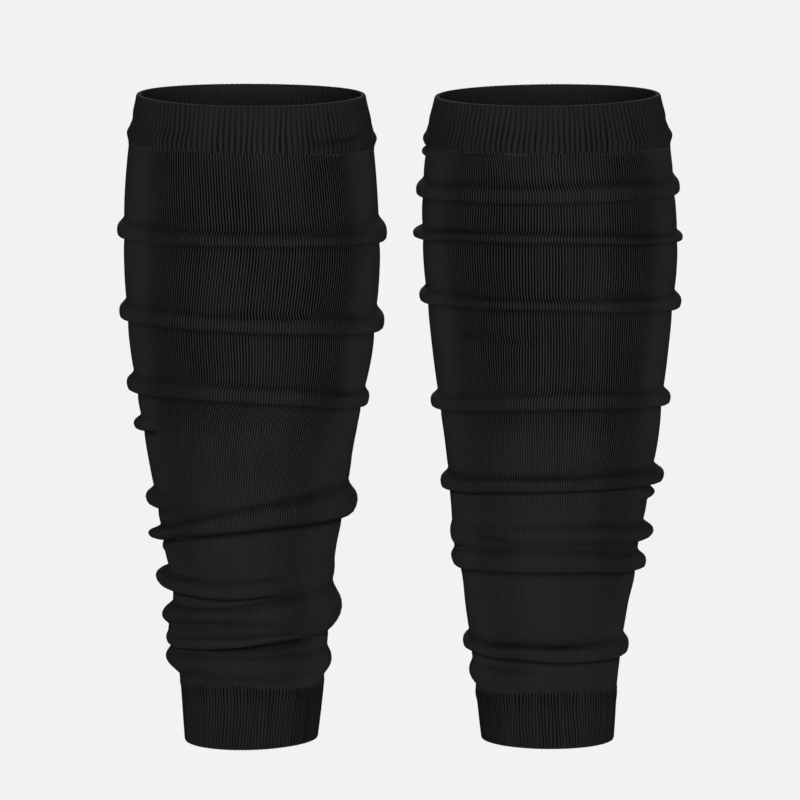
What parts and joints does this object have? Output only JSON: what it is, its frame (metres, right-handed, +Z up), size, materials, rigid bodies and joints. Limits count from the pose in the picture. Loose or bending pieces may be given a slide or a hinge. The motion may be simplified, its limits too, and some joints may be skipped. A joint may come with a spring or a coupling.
{
  "type": "pair of leg warmers",
  "caption": "Pair of slouched knit leg warmers in worn form: ribbed top band, fine-knit tube pushed into rolls, ribbed ankle cuff, open at knee and ankle.",
  "frame": {"origin": "midway between the two legs, at half the height of the elastic top bands that hold the pair up", "axes": "+Z up along the legs, towards the knees; the shins face -Y; the wearer's left leg is at +X"},
  "size_m": [0.2757, 0.128, 0.3184],
  "materials": {
    "tube_knit": "matte black fine rib knit",
    "rib_knit": "matte black broad rib knit, elastic"
  },
  "bodies": {
    "root": {"right_top_band": "rib_knit", "right_leg_tube": "tube_knit", "right_ankle_cuff": "rib_knit", "left_top_band": "rib_knit", "left_leg_tube": "tube_knit", "left_ankle_cuff": "rib_knit"}
  },
  "joints": []
}
